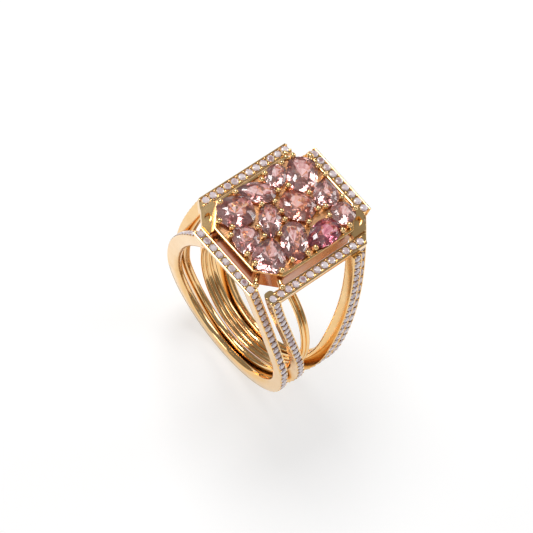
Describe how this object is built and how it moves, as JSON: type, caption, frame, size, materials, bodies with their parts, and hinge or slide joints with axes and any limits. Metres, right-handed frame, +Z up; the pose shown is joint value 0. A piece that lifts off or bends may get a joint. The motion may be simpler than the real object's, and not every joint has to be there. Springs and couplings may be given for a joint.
{
  "type": "cocktail ring",
  "caption": "Yellow gold cocktail ring: an octagonal tray of pink fancy-cut stones in a halo of small set stones, on a split shank of four set bands and two plain wires.",
  "frame": {"origin": "centre of the finger hole", "axes": "+Y along the finger through the hole, +Z up to the head, +X across the finger"},
  "size_m": [0.02, 0.0182, 0.029],
  "materials": {
    "gold": "polished",
    "tray_gold": "polished",
    "pink_stone": "polished",
    "raspberry_stone": "polished",
    "pave_stone": "polished"
  },
  "bodies": {
    "root": {"near_rim_band": "gold", "far_rim_band": "gold", "near_inner_band": "gold", "far_inner_band": "gold", "left_halo_bar": "gold", "right_halo_bar": "gold", "near_finger_wire": "gold", "far_finger_wire": "gold", "tray_wall": "tray_gold", "tray_rim": "gold", "tray_floor": "gold", "corner_webs": "gold", "corner_brackets": "gold", "stone_prongs": "gold", "cushion_stone_far": "pink_stone", "round_stone_left": "pink_stone", "pear_stone_left": "pink_stone", "cushion_stone_left": "pink_stone", "oval_stone_middle": "pink_stone", "oval_stone_centre": "pink_stone", "pear_stone_far": "pink_stone", "oval_stone_far_right": "pink_stone", "pear_stone_right": "raspberry_stone", "oval_stone_near_right": "pink_stone", "pear_stone_near": "pink_stone", "pear_stone_near_left": "pink_stone", "near_rim_pave": "pave_stone", "far_rim_pave": "pave_stone", "near_inner_pave": "pave_stone", "far_inner_pave": "pave_stone", "left_bar_pave": "pave_stone", "right_bar_pave": "pave_stone"}
  },
  "joints": []
}
